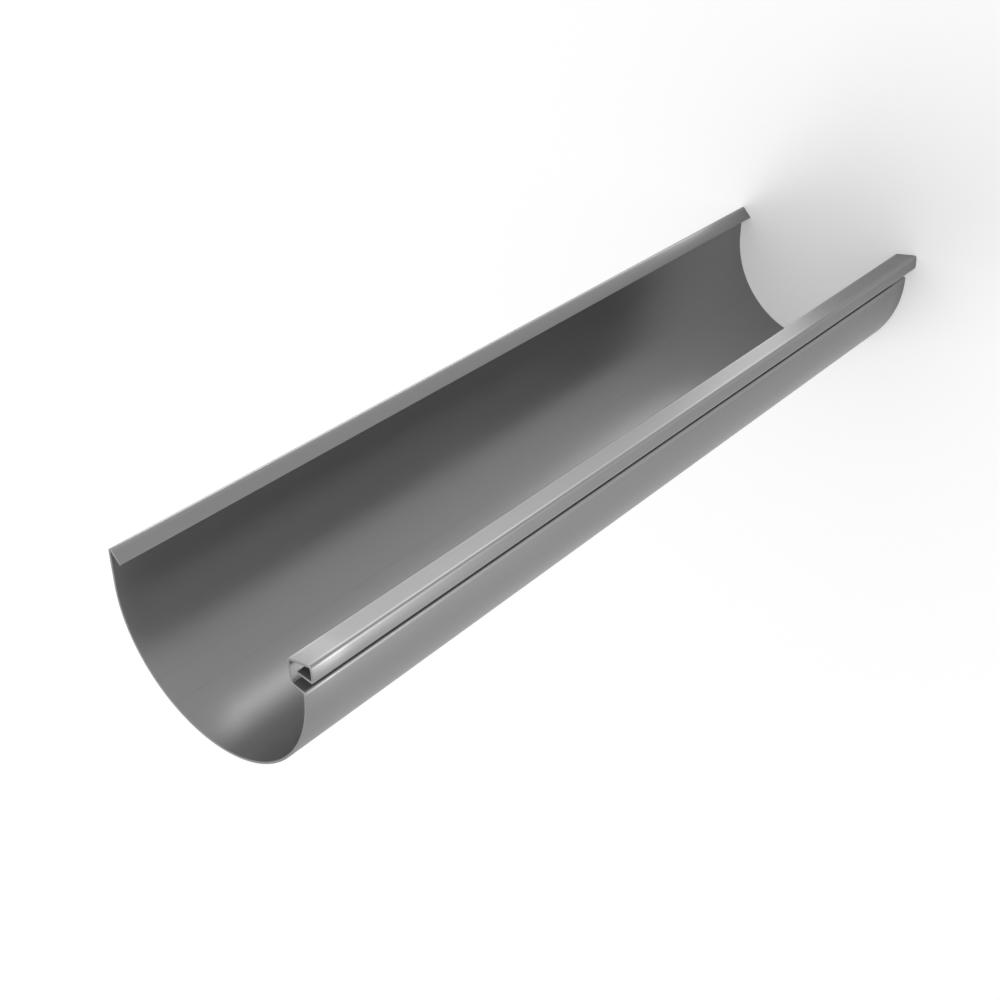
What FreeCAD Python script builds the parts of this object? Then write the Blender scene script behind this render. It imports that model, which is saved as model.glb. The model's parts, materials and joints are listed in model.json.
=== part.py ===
import FreeCAD, Part
import math
import os
import Sketcher

# A half-round gutter section: one length of rainwater gutter, roll-formed from a single strip
# of aluminium sheet and cut square at both ends.
#
# The strip has one thickness all the way across. The rolls fold it at six places and round the
# trough between them, so the drawing follows the strip in the same way: a line of flats and
# bends along its weather side, which the thickness of the strip turns into the section. The
# section is then drawn out to the length of the stock.
#
# A half-round gutter rolls on its belly, so the piece is kept standing on one of its square cut
# ends. Z points up along the stock, the open side of the trough faces -Y, and the bead, which
# hangs at the front, is on the -X side. The origin is in the middle of the footprint. The section
# itself is drawn as it hangs in its brackets, rims up, about the axis of the trough.


# Sizes in millimetres and degrees. A flat is the straight run between two bends.

SIZES = {
    "stock_length": (533, "length from cut end to cut end"),
    "sheet_thickness": (1.2, "thickness of the strip"),
    "bend_radius": (0.2, "inside radius of each fold"),
    "trough_diameter": (125, "outside diameter of the half-round trough"),
    "lip_flat": (7.8, "stiffening lip folded down over the water at the back"),
    "lip_slope": (45, "fall of the lip below level"),
    "rear_wall_flat": (18.9, "upright wall above the trough at the back"),
    "front_wall_flat": (2.4, "upright wall above the trough at the front"),
    "shoulder_flat": (6.2, "shoulder that steps inwards under the bead"),
    "shoulder_slope": (12, "rise of the shoulder above level"),
    "bead_back_flat": (11.1, "back wall of the bead"),
    "bead_back_lean": (4.3, "lean of the back wall over the trough"),
    "bead_top_flat": (11.8, "top of the bead"),
    "bead_top_slope": (10, "rise of the top towards the front"),
    "bead_front_flat": (6.4, "front wall of the bead"),
    "bead_front_lean": (3.7, "lean of the front wall, outwards at its foot"),
    "return_flat": (8.0, "edge of the strip turned back into the bead"),
    "return_slope": (8, "rise of that edge above level"),
}

doc = FreeCAD.newDocument("GutterSection")
sheet = doc.addObject("Spreadsheet::Sheet", "Sizes")
for row, (name, (value, meaning)) in enumerate(SIZES.items(), start=1):
    sheet.set(f"A{row}", name)
    sheet.set(f"B{row}", str(value))
    sheet.set(f"C{row}", meaning)
    sheet.setAlias(f"B{row}", name)
doc.recompute()


# The line of the strip, from the rear lip over the trough to the edge inside the bead. Each
# flat has a heading, in degrees from the front turning upwards, and the bend that
# follows it. The weather side is the outside of the first folds and the inside of the bead's.

OUTER_FOLD = "Sizes.bend_radius + Sizes.sheet_thickness"
INNER_FOLD = "Sizes.bend_radius"
TROUGH = "Sizes.trough_diameter / 2"
LEFT = 1
RIGHT = -1

RUN = [
    ("lip", "180 - Sizes.lip_slope", OUTER_FOLD, LEFT),
    ("rear_wall", "270", TROUGH, LEFT),
    ("front_wall", "90", OUTER_FOLD, LEFT),
    ("shoulder", "180 - Sizes.shoulder_slope", INNER_FOLD, RIGHT),
    ("bead_back", "90 + Sizes.bead_back_lean", INNER_FOLD, RIGHT),
    ("bead_top", "Sizes.bead_top_slope", INNER_FOLD, RIGHT),
    ("bead_front", "Sizes.bead_front_lean - 90", INNER_FOLD, RIGHT),
    ("return", "-180 - Sizes.return_slope", None, None),
]
PLUMB = ("rear_wall", "front_wall")


def amount(expression):
    """Value of an expression on the sheet of sizes."""
    return float(sheet.evalExpression(expression.replace("Sizes.", "")))


def ahead(heading):
    """Unit vector of a heading."""
    return FreeCAD.Vector(math.cos(heading), math.sin(heading), 0)


def walk(point):
    """Lines and arcs of the strip's line from a starting point, and the axis of the trough."""
    pieces = []
    axis = None
    for step, (name, heading, radius, side) in enumerate(RUN):
        angle = math.radians(amount(heading))
        end = point + ahead(angle) * amount(f"Sizes.{name}_flat")
        pieces.append(Part.LineSegment(point, end))
        if radius is None:
            break
        to_centre = ahead(angle + side * math.pi / 2) * amount(radius)
        centre = end + to_centre
        turn = (amount(RUN[step + 1][1]) - amount(heading)) % (side * 360)
        start = math.atan2(-to_centre.y, -to_centre.x)
        finish = start + math.radians(turn)
        circle = Part.Circle(centre, FreeCAD.Vector(0, 0, 1), amount(radius))
        pieces.append(Part.ArcOfCircle(circle, min(start, finish), max(start, finish)))
        point = centre + ahead(finish) * amount(radius)
        if radius == TROUGH:
            axis = centre
    return pieces, axis


body = doc.addObject("PartDesign::Body", "Gutter")
body.Label = "gutter"
floor_plane = next(f for f in body.Origin.OriginFeatures if f.Role == "XY_Plane")

line = body.newObject("Sketcher::SketchObject", "StripLine")
line.AttachmentSupport = (floor_plane, [""])
line.MapMode = "FlatFace"
pieces, axis = walk(FreeCAD.Vector(0, 0, 0))
pieces, axis = walk(-axis)
line.addGeometry(pieces, False)


# What holds the line: the axis of the trough on the origin, every flat tangent to its bends, and
# one length and slope for each flat and one radius for each bend, all bound to the sizes.

START = 1
END = 2
CENTRE = 3
ORIGIN = (-1, 1)


def dimension(name, kind, geometry, value, expression):
    """Dimension of one line or arc, bound to the sizes."""
    line.addConstraint(Sketcher.Constraint(kind, geometry, value))
    line.renameConstraint(line.ConstraintCount - 1, name)
    line.setExpression(f"Constraints.{name}", expression)


for step, (name, heading, radius, side) in enumerate(RUN):
    flat = 2 * step
    bend = flat + 1
    length = f"Sizes.{name}_flat"
    dimension(f"{name}_length", "Distance", flat, amount(length), length)
    if name in PLUMB:
        line.addConstraint(Sketcher.Constraint("Vertical", flat))
    else:
        dimension(f"{name}_heading", "Angle", flat, math.radians(amount(heading)), heading)
    if radius is None:
        break
    first, last = (START, END) if side == LEFT else (END, START)
    line.addConstraint(Sketcher.Constraint("Tangent", flat, END, bend, first))
    line.addConstraint(Sketcher.Constraint("Tangent", bend, last, bend + 1, START))
    dimension(f"{name}_bend", "Radius", bend, amount(radius), radius)
    if radius == TROUGH:
        line.addConstraint(Sketcher.Constraint("Coincident", bend, CENTRE, *ORIGIN))
doc.recompute()


# The strip's thickness lies on the water side of that line.

strip = body.newObject("PartDesign::SubShapeBinder", "StripSection")
strip.Support = [(line, "")]
strip.OffsetJoinType = "Arcs"
strip.OffsetFill = True
strip.OffsetOpenResult = True
strip.setExpression("Offset", "-Sizes.sheet_thickness")
doc.recompute()

stock = body.newObject("PartDesign::Pad", "Stock")
stock.Profile = strip
stock.setExpression("Length", "Sizes.stock_length")
doc.recompute()


# Stood on its end: half a turn brings the open side to the front, and the middle of the footprint
# goes to the origin.

HALF_TURN = FreeCAD.Rotation(FreeCAD.Vector(0, 0, 1), 180)
body.Placement = FreeCAD.Placement(FreeCAD.Vector(0, 0, 0), HALF_TURN)
standing = body.Shape.optimalBoundingBox(False, False)
body.Placement.Base = FreeCAD.Vector(-standing.Center.x, -standing.Center.y, -standing.ZMin)
doc.recompute()


# Every feature is sound and the strip's line is held in full before the piece is written.

for feature in doc.Objects:
    if "Invalid" in feature.State or "Error" in feature.State:
        raise RuntimeError(f"{feature.Label} did not build: {feature.State}")
if not line.FullyConstrained:
    raise RuntimeError("the line of the strip is not held in full")
if body.Shape.isNull() or not body.Shape.isValid() or len(body.Shape.Solids) != 1:
    raise RuntimeError("the gutter is not one sound solid")

os.makedirs("parts", exist_ok=True)
body.Shape.exportStep(f"parts/{body.Label}.step")

girth = body.Shape.Volume / amount("Sizes.sheet_thickness") / amount("Sizes.stock_length")
print(f"strip {girth:.1f} mm wide, standing {standing.ZLength:.1f} mm tall")
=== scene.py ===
# %% [markdown]
# # A half-round gutter section
# A length of rainwater gutter that stands on one of its square cut ends. The real one is a single
# strip of sheet, read here as aluminium, folded and rounded between pairs of rolls, so the model is
# one piece as well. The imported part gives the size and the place. This file sweeps the same
# section as a sheet, and gives it sheared edges and a mill finish.

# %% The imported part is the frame
import json
import math
import bpy
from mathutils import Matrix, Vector


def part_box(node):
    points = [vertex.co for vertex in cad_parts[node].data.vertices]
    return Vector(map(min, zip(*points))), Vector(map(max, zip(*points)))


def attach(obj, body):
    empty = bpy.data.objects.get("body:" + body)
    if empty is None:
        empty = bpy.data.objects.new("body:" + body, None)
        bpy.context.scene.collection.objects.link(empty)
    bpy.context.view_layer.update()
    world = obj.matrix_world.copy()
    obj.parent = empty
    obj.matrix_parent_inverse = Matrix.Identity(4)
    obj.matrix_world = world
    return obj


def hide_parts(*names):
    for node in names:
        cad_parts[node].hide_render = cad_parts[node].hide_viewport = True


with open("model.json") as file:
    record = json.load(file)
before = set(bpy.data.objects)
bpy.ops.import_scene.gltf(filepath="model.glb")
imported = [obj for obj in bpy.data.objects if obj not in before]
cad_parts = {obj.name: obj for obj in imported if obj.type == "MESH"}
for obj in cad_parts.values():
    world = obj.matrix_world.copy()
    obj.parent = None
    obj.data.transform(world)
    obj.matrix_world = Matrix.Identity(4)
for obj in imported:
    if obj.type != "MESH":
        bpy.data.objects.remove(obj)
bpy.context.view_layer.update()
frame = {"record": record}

# %% [markdown]
# ## The hung gutter and the standing piece
# A section is easiest to think of as it hangs: x to the front and z up, about the axis of the
# trough. The piece stands with its open side to the front of the scene, so the hung x is the
# scene's -X, the hung z is -Y, and the length runs up. One function turns hung millimetres into
# scene metres. The stock's length comes from the part's own box, and the trough's axis from the
# mount under it.

# %% From hung millimetres to scene metres
MM = 0.001
low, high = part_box("gutter")
STOCK = high[2] - low[2]
TROUGH_RADIUS = 62.5
mounts = {mount["name"]: mount for mount in frame["record"]["mounts"]}
axis_x = mounts["bracket_seat"]["pos_m"][0]
axis_y = mounts["bracket_seat"]["pos_m"][1] - TROUGH_RADIUS * MM


def hung(x, z, height=0.0):
    """Scene point of a hung point in millimetres, at a height in metres."""
    return Vector((axis_x - x * MM, axis_y - z * MM, height))


def hung_direction(heading):
    """Scene direction of a heading in degrees, from the hung front turning upwards."""
    angle = math.radians(heading)
    return Vector((-math.cos(angle), -math.sin(angle), 0.0))


print(f"trough axis at {axis_x:.5f}, {axis_y:.5f}, stock {STOCK:.3f} m long")

# %% [markdown]
# ## Camera
# The camera comes first, because everything is seen through it. It looks down the gutter from
# above its near end, which is the upper end here. Against the hung gutter it has no roll, so its
# own up is the hung up, and in the scene it is rolled. Its lens and place were fitted to the
# photograph, where the far cut end is a good deal smaller than the near one.

# %% Camera at the photograph's angle
LENS = 52.57
CAMERA_FRONT = 416.3
CAMERA_ABOVE = 392.7
CAMERA_BEFORE_END = 301.4
VIEW_SLOPE = math.radians(-32.82)
VIEW_TURN = math.radians(50.27)

camera_data = bpy.data.cameras.new("photo_camera")
camera_data.lens = LENS
camera = bpy.data.objects.new("photo_camera", camera_data)
bpy.context.scene.collection.objects.link(camera)
bpy.context.scene.camera = camera

STRAIGHT_UP = Vector((0.0, 0.0, 1.0))
hung_up = -Vector((0.0, 1.0, 0.0))
level = hung_direction(180) * math.cos(VIEW_TURN) - STRAIGHT_UP * math.sin(VIEW_TURN)
forward = level * math.cos(VIEW_SLOPE) + hung_up * math.sin(VIEW_SLOPE)
right = forward.cross(hung_up).normalized()
up = right.cross(forward)
turn = camera.matrix_world.to_3x3()
turn.col[0], turn.col[1], turn.col[2] = right, up, -forward
camera.matrix_world = turn.to_4x4()
camera.location = hung(CAMERA_FRONT, CAMERA_ABOVE, STOCK + CAMERA_BEFORE_END * MM)
print("camera at", [round(v, 4) for v in camera.location])
print("looking along", [round(v, 4) for v in forward])

# %% [markdown]
# ## The folded strip
# The rolls carry the edge of the strip straight on or turn it, so the surface is drawn in that
# way. An upright edge as long as the stock starts at the rear lip and sweeps the middle of the
# sheet: a straight run is an extrusion, and a bend is a spin about the bend's own axis. A flat
# grid with a Simple Deform modifier could bend only once. An outline of both skins, drawn out to
# the length, would need two radii worked out for every fold, where one surface needs one. The
# front of the bead has a faint crown: it shades softly from light to dark in the photograph, and
# rolls can't press a narrow face quite flat.

# %% Sizes of the strip
SHEET = 1.2
FOLD_RADIUS = 0.8
LEFT = 1
RIGHT = -1
REAR_WALL = 18.9
MIDDLE = TROUGH_RADIUS - SHEET / 2

# Each run has a length, a heading, a crown in degrees, and the bend that follows it.
RUNS = [
    ("lip", 7.8, 135.0, 0.0, FOLD_RADIUS, LEFT),
    ("rear wall", REAR_WALL, 270.0, 0.0, MIDDLE, LEFT),
    ("front wall", 2.4, 90.0, 0.0, FOLD_RADIUS, LEFT),
    ("shoulder", 6.2, 168.0, 0.0, FOLD_RADIUS, RIGHT),
    ("bead back", 11.1, 94.3, 0.0, FOLD_RADIUS, RIGHT),
    ("bead top", 11.8, 10.0, 0.0, FOLD_RADIUS, RIGHT),
    ("bead front", 6.4, -86.3, 9.0, FOLD_RADIUS, RIGHT),
    ("return", 8.0, -188.0, 0.0, None, None),
]
LENGTHWISE_CUTS = 23
DEGREES_A_STEP = 3.0
FEWEST_FOLD_STEPS = 8

# %% [markdown]
# The first edge is found by walking back over the lip from the top of the rear wall, which rises
# from the level of the trough's axis. It starts as an upright plane as long as the stock, of which
# one side is kept.

# %% The first edge of the strip
bpy.ops.object.select_all(action="DESELECT")
lip_length, lip_heading = RUNS[0][1], math.radians(RUNS[0][2])
along_lip = Vector((math.cos(lip_heading), math.sin(lip_heading)))
across_lip = Vector((math.sin(lip_heading), -math.cos(lip_heading)))
lip_end = Vector((FOLD_RADIUS - MIDDLE, REAR_WALL)) + across_lip * FOLD_RADIUS
lip_start = lip_end - along_lip * lip_length
start = hung(*lip_start)
bpy.ops.mesh.primitive_plane_add(
    size=STOCK,
    location=start + Vector((STOCK / 2, 0.0, STOCK / 2)),
    rotation=(math.radians(90), 0.0, 0.0),
)
sheet = bpy.context.object
sheet.name = "gutter_sheet"
bpy.ops.object.transform_apply(location=True, rotation=True, scale=True)
for part in (*sheet.data.edges, *sheet.data.polygons):
    part.select = False
for vertex in sheet.data.vertices:
    vertex.select = vertex.co.x > start.x + STOCK / 2
bpy.ops.object.mode_set(mode="EDIT")
bpy.ops.mesh.delete(type="VERT")
bpy.ops.mesh.select_all(action="SELECT")
bpy.ops.mesh.subdivide(number_cuts=LENGTHWISE_CUTS)
print("first edge at", [round(v, 5) for v in start], "and", round(STOCK, 4), "m long")

# %% [markdown]
# A flat gets an extra edge close to each of its folds. Smooth shading then turns only in the
# narrow strip beside the fold and leaves the flat truly flat, and the wear of the folds has
# somewhere to end.

# %% Straight runs and bends
BESIDE_FOLD = 1.5
fold_axes = []


def run_on(point, heading, lengths):
    """Carries the strip's edge straight on, by one length after another."""
    for length in lengths:
        step = hung_direction(heading) * length * MM
        bpy.ops.mesh.extrude_region_move(TRANSFORM_OT_translate={"value": step})
        point = point + step
    return point


def bend(point, heading, radius, turn, steps):
    """Turns the strip's edge about the axis of a bend, by degrees to the left if positive."""
    side = LEFT if turn > 0 else RIGHT
    centre = point + hung_direction(heading + 90 * side) * radius * MM
    bpy.ops.mesh.spin(
        steps=steps, angle=-math.radians(turn), center=centre, axis=(0.0, 0.0, 1.0)
    )
    if radius == FOLD_RADIUS:
        fold_axes.append(centre)
    return centre - hung_direction(heading + turn + 90 * side) * radius * MM


point = start
folded_before = False
bpy.ops.mesh.select_all(action="SELECT")
for number, (name, length, heading, crown, radius, side) in enumerate(RUNS):
    entry, leave = heading + crown / 2, heading - crown / 2
    folded_after = radius == FOLD_RADIUS
    if crown:
        point = bend(point, entry, length / math.radians(crown), -crown, FEWEST_FOLD_STEPS)
    else:
        near_folds = [BESIDE_FOLD * folded_before, BESIDE_FOLD * folded_after]
        middle = length - sum(near_folds)
        pieces = [near_folds[0], middle, near_folds[1]]
        point = run_on(point, heading, [piece for piece in pieces if piece])
    if radius is None:
        break
    next_heading = RUNS[number + 1][2] + RUNS[number + 1][3] / 2
    turning = (next_heading - leave) % (side * 360)
    steps = max(FEWEST_FOLD_STEPS, round(abs(turning) / DEGREES_A_STEP))
    point = bend(point, leave, radius, turning, steps)
    folded_before = folded_after
    print(f"{name}: {length} mm, then {turning:.1f} degrees at {radius:.1f} mm radius")
bpy.ops.object.mode_set(mode="OBJECT")

# %% [markdown]
# ## Thickness and cut edges
# Solidify gives the surface the one thickness of the strip, half to each side, and the faces that
# close its rim get a second material for the cut metal. It also marks the skin it adds, which
# later tells the shader how far across the thickness a point of the cut edge lies. A tiny bevel
# takes the sharpness off the cut edges, as handling does.

# %% Thickness and cut edges
EDGE_BREAK = 0.1
EDGE_BREAK_STEPS = 2
BEVEL_ABOVE = 60
SMOOTH_BELOW = 40
added_skin = sheet.vertex_groups.new(name="added_skin")


def finish_with(kind, **settings):
    """Adds a modifier with its settings and applies it."""
    modifier = sheet.modifiers.new(kind.lower(), kind)
    for name, value in settings.items():
        setattr(modifier, name, value)
    bpy.ops.object.modifier_apply(modifier=modifier.name)


finish_with(
    "SOLIDIFY",
    thickness=SHEET * MM,
    offset=0.0,
    use_even_offset=True,
    material_offset_rim=1,
    shell_vertex_group=added_skin.name,
)
finish_with(
    "BEVEL",
    width=EDGE_BREAK * MM,
    segments=EDGE_BREAK_STEPS,
    limit_method="ANGLE",
    angle_limit=math.radians(BEVEL_ABOVE),
)
bpy.ops.object.mode_set(mode="EDIT")
bpy.ops.mesh.select_all(action="SELECT")
bpy.ops.mesh.normals_make_consistent(inside=False)
bpy.ops.object.mode_set(mode="OBJECT")
bpy.ops.object.shade_smooth_by_angle(angle=math.radians(SMOOTH_BELOW))
corners = [sheet.matrix_world @ Vector(corner) for corner in sheet.bound_box]
for axis, name in enumerate("xyz"):
    values = [corner[axis] for corner in corners]
    print(f"sheet {name}: {min(values):.5f} to {max(values):.5f} m")
print(len(sheet.data.polygons), "faces")

# %% [markdown]
# ## Marks for the finishes
# Two values on the points of the mesh follow the strip, where a pattern in space could not. One
# is 1 on the folds, which the rolls press hardest and burnish. The other runs from 0 to 1 across
# the thickness of the cut edges.

# %% Marks for the finishes
SPARE = 0.01
ON_FOLD = FOLD_RADIUS + SHEET / 2 + SPARE


def mark(name, values):
    """Stores one value for each point of the sheet."""
    layer = sheet.data.attributes.new(name, "FLOAT", "POINT")
    layer.data.foreach_set("value", values)
    print(f"{name}: {sum(value > 0.5 for value in values)} of {len(values)} points")


def on_fold(place):
    """Whether a point lies on one of the folds."""
    reach = min((place.xy - axis.xy).length for axis in fold_axes)
    return float(reach < ON_FOLD * MM)


def skin_share(vertex):
    """How far a point lies towards the skin that Solidify added."""
    return sum(group.weight for group in vertex.groups)


mark("fold", [on_fold(vertex.co) for vertex in sheet.data.vertices])
mark("across", [skin_share(vertex) for vertex in sheet.data.vertices])

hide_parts("gutter")
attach(sheet, "root")

# %% [markdown]
# ## Colours and nodes
# Colours are written as the sRGB hex values a picture shows, and the shader wants linear ones.
# One function turns them, and one other adds a node with its options and fills its sockets, with
# a value or with a link from another node.

# %% Helpers for the finishes
def linear(code):
    """Linear colour of an sRGB hex value."""
    channels = [int(code[i : i + 2], 16) / 255 for i in (1, 3, 5)]
    return [c / 12.92 if c <= 0.04045 else ((c + 0.055) / 1.055) ** 2.4 for c in channels] + [1.0]


def add_node(tree, kind, sockets, out=0, **options):
    """Adds a node with its options, fills its sockets by value or link, and gives its output."""
    node = tree.nodes.new(kind)
    for name, value in options.items():
        setattr(node, name, value)
    for socket, value in sockets.items():
        if isinstance(value, bpy.types.NodeSocket):
            tree.links.new(value, node.inputs[socket])
        else:
            node.inputs[socket].default_value = value
    return node.outputs[out]


def start_finish(name):
    """New finish: the material, its node tree, its shader and the coordinates of the piece."""
    finish = bpy.data.materials.new(name)
    finish.use_nodes = True
    tree = finish.node_tree
    place = add_node(tree, "ShaderNodeTexCoord", {}, out="Object")
    return finish, tree, tree.nodes["Principled BSDF"], place


# Sockets of nodes whose sockets share their names.
COLOUR_A, COLOUR_B, MIXED_COLOUR = 6, 7, 2
FROM_LOW, FROM_HIGH, TO_LOW, TO_HIGH = 1, 2, 3, 4

# %% [markdown]
# ## Mill finish
# The strip is bare aluminium as it leaves the rolling mill and the roll former: a satin grey and
# not a mirror, because the rolls print their ground surface on it in fine lines along the strip.
# Rolling oil and oxide leave it faintly cloudy, the folds are burnished a little brighter, and
# the guides of the former leave a dull line here and there. Bare metal is fully metallic, but its
# haze of oxide and oil scatters part of the light before the metal mirrors it. So the finish is
# three quarters metallic here, with a roughness of about a third. How large that share is can't be
# seen in a photograph. It was chosen by comparing renders with it, as the greys were.
#
# Roll lines are a few hundredths of a millimetre wide. A pixel of the picture is about half a
# millimetre, so they are drawn much coarser, just wide enough to be felt.

# %% Mill-finish aluminium: the patterns
ROLL_LINE = (1.6, 260.0)
CLOUD = (38.0, 120.0)
GUIDE_LINE = (2.4, 420.0)

metal, tree, shader, place = start_finish("mill_finish_aluminium")
patterns = {}
for name, (wide, long), detail in (
    ("roll lines", ROLL_LINE, 3.0),
    ("cloud", CLOUD, 2.0),
    ("guide lines", GUIDE_LINE, 0.0),
):
    scale = [1 / (wide * MM), 1 / (wide * MM), 1 / (long * MM)]
    along = add_node(tree, "ShaderNodeMapping", {"Vector": place, "Scale": scale})
    sockets = {"Vector": along, "Scale": 1.0, "Detail": detail}
    patterns[name] = add_node(tree, "ShaderNodeTexNoise", sockets)
    print(f"{name}: {wide} mm wide and {long} mm long")

# Only the highest ridges of the last pattern are guide lines.
GUIDE_LINES_START, GUIDE_LINES_FULL = 0.70, 0.78
sockets = {0: patterns["guide lines"], FROM_LOW: GUIDE_LINES_START, FROM_HIGH: GUIDE_LINES_FULL}
guide_lines = add_node(tree, "ShaderNodeMapRange", sockets)
fold = add_node(tree, "ShaderNodeAttribute", {}, out="Fac", attribute_name="fold")

# %% [markdown]
# Each pattern then moves the colour and the roughness by a little. The fold is last, because its
# burnishing lies over everything that the strip brought from the mill.

# %% Mill-finish aluminium: colour, roughness and relief
DULL_GREY = linear("#808081")
CLEAR_GREY = linear("#878788")
LINE_GREY = linear("#8d8d8d")
GUIDE_GREY = linear("#7d7d7e")
BURNISHED_GREY = linear("#9a9a9b")
LINE_SHARE = 0.25
GUIDE_SHARE = 0.3
FOLD_SHARE = 0.45

sockets = {0: patterns["cloud"], COLOUR_A: DULL_GREY, COLOUR_B: CLEAR_GREY}
colour = add_node(tree, "ShaderNodeMix", sockets, out=MIXED_COLOUR, data_type="RGBA")
for pattern, share, grey in (
    (patterns["roll lines"], LINE_SHARE, LINE_GREY),
    (guide_lines, GUIDE_SHARE, GUIDE_GREY),
    (fold, FOLD_SHARE, BURNISHED_GREY),
):
    much = add_node(tree, "ShaderNodeMath", {0: pattern, 1: share}, operation="MULTIPLY")
    sockets = {0: much, COLOUR_A: colour, COLOUR_B: grey}
    colour = add_node(tree, "ShaderNodeMix", sockets, out=MIXED_COLOUR, data_type="RGBA")
tree.links.new(colour, shader.inputs["Base Color"])

SMOOTHEST, ROUGHEST = 0.29, 0.36
CLOUD_THIN, CLOUD_THICK = 0.3, 0.7
LINE_ROUGHNESS = 0.03
GUIDE_ROUGHNESS = 0.02
FOLD_ROUGHNESS = -0.05
sockets = {0: patterns["cloud"], FROM_LOW: CLOUD_THIN, FROM_HIGH: CLOUD_THICK}
sockets |= {TO_LOW: SMOOTHEST, TO_HIGH: ROUGHEST}
rough = add_node(tree, "ShaderNodeMapRange", sockets)
for pattern, amount in (
    (patterns["roll lines"], LINE_ROUGHNESS),
    (guide_lines, GUIDE_ROUGHNESS),
    (fold, FOLD_ROUGHNESS),
):
    sockets = {0: pattern, 1: amount, 2: rough}
    rough = add_node(tree, "ShaderNodeMath", sockets, operation="MULTIPLY_ADD")
tree.links.new(rough, shader.inputs["Roughness"])

# The ground surface shades itself when it is seen at a low angle, so its sides brighten less than
# those of a polished metal. The tint is what is left of that brightening, matched by render.
LOW_ANGLE_TINT = (0.78, 0.78, 0.78, 1.0)
shader.inputs["Specular Tint"].default_value = LOW_ANGLE_TINT

# The rest of the surface is the haze.
BARE_METAL_SHARE = 0.75
shader.inputs["Metallic"].default_value = BARE_METAL_SHARE

RELIEF = 0.01
RELIEF_STRENGTH = 0.25
sockets = {"Height": patterns["roll lines"], "Distance": RELIEF * MM, "Strength": RELIEF_STRENGTH}
tree.links.new(add_node(tree, "ShaderNodeBump", sockets), shader.inputs["Normal"])
sheet.data.materials.clear()
sheet.data.materials.append(metal)
print(metal.name, "has", len(tree.nodes), "nodes")

# %% [markdown]
# ## Sheared edges
# Both ends and both long edges were cut by shears. A blade first slides into the sheet and
# burnishes a smooth band, and then the rest of the thickness tears off dull and grainy. The band
# is a third of the thickness here, and the mark across the thickness tells where it ends. The
# grain of the torn part is drawn about as coarse as it can be on a 1.2 mm edge.

# %% Sheared aluminium edge
TORN_FROM, TORN_FULLY = 0.30, 0.42
GRAIN = 0.22
GRAIN_RELIEF = 0.03
GRAIN_STRENGTH = 0.6
BLADE_GREY = linear("#626263")
TORN_GREY = linear("#545455")
TORN_DARK = linear("#474748")
BLADE_ROUGHNESS, TORN_ROUGHNESS = 0.38, 0.62

cut_edge, tree, shader, place = start_finish("sheared_aluminium_edge")
across = add_node(tree, "ShaderNodeAttribute", {}, out="Fac", attribute_name="across")
torn = add_node(tree, "ShaderNodeMapRange", {0: across, FROM_LOW: TORN_FROM, FROM_HIGH: TORN_FULLY})
sockets = {"Vector": place, "Scale": 1 / (GRAIN * MM), "Detail": 2.0}
grain = add_node(tree, "ShaderNodeTexNoise", sockets)
sockets = {0: grain, COLOUR_A: TORN_DARK, COLOUR_B: TORN_GREY}
torn_colour = add_node(tree, "ShaderNodeMix", sockets, out=MIXED_COLOUR, data_type="RGBA")
sockets = {0: torn, COLOUR_A: BLADE_GREY, COLOUR_B: torn_colour}
colour = add_node(tree, "ShaderNodeMix", sockets, out=MIXED_COLOUR, data_type="RGBA")
tree.links.new(colour, shader.inputs["Base Color"])
sockets = {0: torn, TO_LOW: BLADE_ROUGHNESS, TO_HIGH: TORN_ROUGHNESS}
rough = add_node(tree, "ShaderNodeMapRange", sockets)
tree.links.new(rough, shader.inputs["Roughness"])
height = add_node(tree, "ShaderNodeMath", {0: grain, 1: torn}, operation="MULTIPLY")
sockets = {"Height": height, "Distance": GRAIN_RELIEF * MM, "Strength": GRAIN_STRENGTH}
tree.links.new(add_node(tree, "ShaderNodeBump", sockets), shader.inputs["Normal"])
shader.inputs["Metallic"].default_value = 1.0
sheet.data.materials.append(cut_edge)
print(cut_edge.name, "has", len(tree.nodes), "nodes")

# %% [markdown]
# ## Floor
# The section stands on a plain sheet of matt background board, large enough to fill every view.
# It is a pale grey, with a trace of unevenness so that it reads as a surface, and it takes the
# soft shadow at the foot of the section.

# %% Floor
FLOOR_SIZE = 16.0
BOARD_CLOUD = 0.5
BOARD_GRAIN = 0.003
BOARD_RELIEF = 0.0001
BOARD_STRENGTH = 0.1
BOARD_GREY = linear("#d6d6d6")
BOARD_PALE = linear("#dadada")
BOARD_SMOOTHEST, BOARD_ROUGHEST = 0.85, 0.95
bpy.ops.object.select_all(action="DESELECT")
bpy.ops.mesh.primitive_plane_add(size=FLOOR_SIZE, location=(0.0, 0.0, 0.0))
floor = bpy.context.object
floor.name = "floor"
board, tree, shader, place = start_finish("matt_background_board")
sockets = {"Vector": place, "Scale": 1 / BOARD_CLOUD, "Detail": 2.0}
cloud = add_node(tree, "ShaderNodeTexNoise", sockets)
sockets = {0: cloud, COLOUR_A: BOARD_GREY, COLOUR_B: BOARD_PALE}
colour = add_node(tree, "ShaderNodeMix", sockets, out=MIXED_COLOUR, data_type="RGBA")
tree.links.new(colour, shader.inputs["Base Color"])
sockets = {0: cloud, TO_LOW: BOARD_SMOOTHEST, TO_HIGH: BOARD_ROUGHEST}
rough = add_node(tree, "ShaderNodeMapRange", sockets)
tree.links.new(rough, shader.inputs["Roughness"])
grain = add_node(tree, "ShaderNodeTexNoise", {"Vector": place, "Scale": 1 / BOARD_GRAIN})
sockets = {"Height": grain, "Distance": BOARD_RELIEF, "Strength": BOARD_STRENGTH}
tree.links.new(add_node(tree, "ShaderNodeBump", sockets), shader.inputs["Normal"])
shader.inputs["Emission Color"].default_value = (1.0, 1.0, 1.0, 1.0)
board_glow = shader.inputs["Emission Strength"]
floor.data.materials.append(board)
print(board.name, "has", len(tree.nodes), "nodes")

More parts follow.
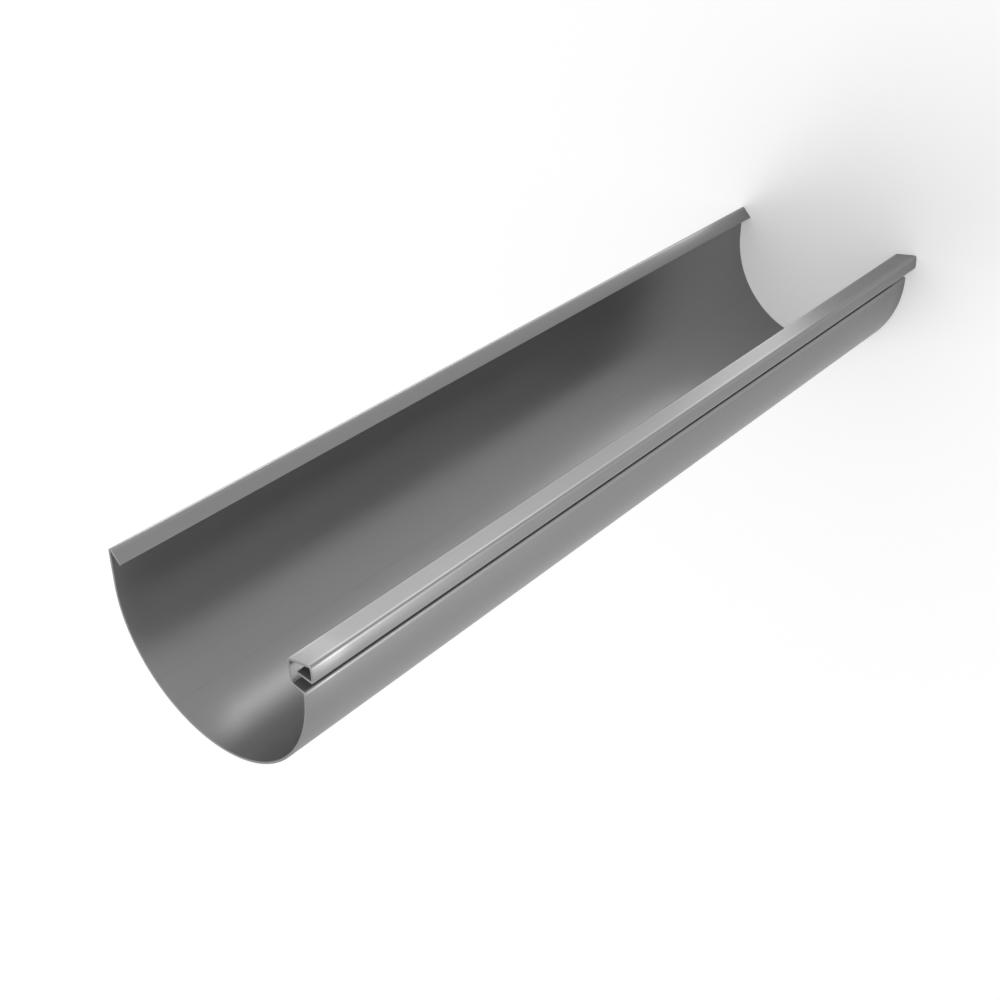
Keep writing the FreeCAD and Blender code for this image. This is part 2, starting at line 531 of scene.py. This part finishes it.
# %% [markdown]
# ## Light
# Satin metal has no look of its own: it shows what stands around it, blurred. So it is lit by
# what it can mirror. An even white room lights everything and carries most of the level. A weak
# and wide lamp behind the section gives the floor a faint soft shadow. Seen from the photograph's
# side, every face of an upright section mirrors the floor around it, so long soft strips lie
# there, facing up. Each is placed by its heading about the trough's axis and draws one of the
# light bands: the foot or the rear of the trough, or the top, the front or the edge of the bead.
# The lamps don't show in the picture themselves, only in the metal. Their places and brightness
# were matched to the photograph's view. A strip much brighter than these comes nearer to it, but
# washes out the section's outline when it is seen from the side or from behind.

# %% Room and soft key
ROOM_STRENGTH = 0.8
world = bpy.data.worlds.new("studio")
bpy.context.scene.world = world
world.use_nodes = True
background = world.node_tree.nodes["Background"]
background.inputs["Color"].default_value = (1.0, 1.0, 1.0, 1.0)
background.inputs["Strength"].default_value = ROOM_STRENGTH
bpy.context.scene.view_settings.view_transform = "Standard"


def hang(lamp, place, turn):
    """Puts a lamp into the scene at a place, turned from facing down."""
    holder = bpy.data.objects.new(lamp.name, lamp)
    bpy.context.scene.collection.objects.link(holder)
    holder.location = place
    holder.rotation_euler = turn
    holder.visible_camera = False


KEY_HEADING = 222
KEY_HEIGHT = math.radians(65)
KEY_WIDTH = math.radians(25)
KEY_STRENGTH = 0.7
key = bpy.data.lights.new("wide_key", "SUN")
key.angle = KEY_WIDTH
key.energy = KEY_STRENGTH
towards_key = hung_direction(KEY_HEADING) * math.cos(KEY_HEIGHT)
towards_key += STRAIGHT_UP * math.sin(KEY_HEIGHT)
hang(key, towards_key, towards_key.to_track_quat("Z", "X").to_euler())
print("the key stands towards", [round(v, 2) for v in towards_key])

# %% [markdown]
# The board and the room look a shade grey in this even light. The camera sees both lifted to white,
# and the metal mirrors them as that white. Rays that only spread light don't see the lift, so the
# floor keeps the section's shadow.

# %% Plain white behind the section
BOARD_LIFT = 0.32
WHITE = 1.0
for tree, strength, gives, shows in (
    (board.node_tree, board_glow, 0.0, BOARD_LIFT),
    (world.node_tree, background.inputs["Strength"], ROOM_STRENGTH, WHITE),
):
    seen = 0.0
    for ray in ("Is Camera Ray", "Is Glossy Ray", "Is Transmission Ray"):
        sees = add_node(tree, "ShaderNodeLightPath", {}, out=ray)
        seen = add_node(tree, "ShaderNodeMath", {0: sees, 1: seen}, operation="MAXIMUM")
    sockets = {0: seen, TO_LOW: gives, TO_HIGH: shows}
    tree.links.new(add_node(tree, "ShaderNodeMapRange", sockets), strength)
    print(f"{strength.name}: gives {gives} and shows {shows}")

# %% Soft strips on the floor
STRIP_HEIGHT = 0.004

# Each strip has a heading, near and far ends from the axis in metres, a width, and a brightness,
# where the white floor is 1.
STRIPS = [
    ("trough_foot", 120, 0.06, 0.50, 0.13, 1.7),
    ("trough_rear", 126, 0.35, 2.30, 0.66, 2.4),
    ("bead_top", 150, 0.75, 2.40, 0.40, 2.2),
    ("bead_front", -19, 0.80, 2.40, 0.60, 6.0),
    ("bead_edge", 8, 0.60, 2.40, 0.40, 2.6),
]
for name, heading, near, far, width, brightness in STRIPS:
    strip = bpy.data.lights.new(f"strip_{name}", "AREA")
    strip.shape = "ELLIPSE"
    strip.size = width
    strip.size_y = far - near
    area = math.pi / 4 * strip.size * strip.size_y
    strip.energy = brightness * math.pi * area
    middle = hung(0, 0, STRIP_HEIGHT) + hung_direction(heading) * (near + far) / 2
    along = hung_direction(heading)
    hang(strip, middle, (math.pi, 0.0, math.atan2(along.y, along.x) + math.pi / 2))
    print(f"{strip.name}: {area:.2f} square metres at {[round(v, 2) for v in middle.xy]}")
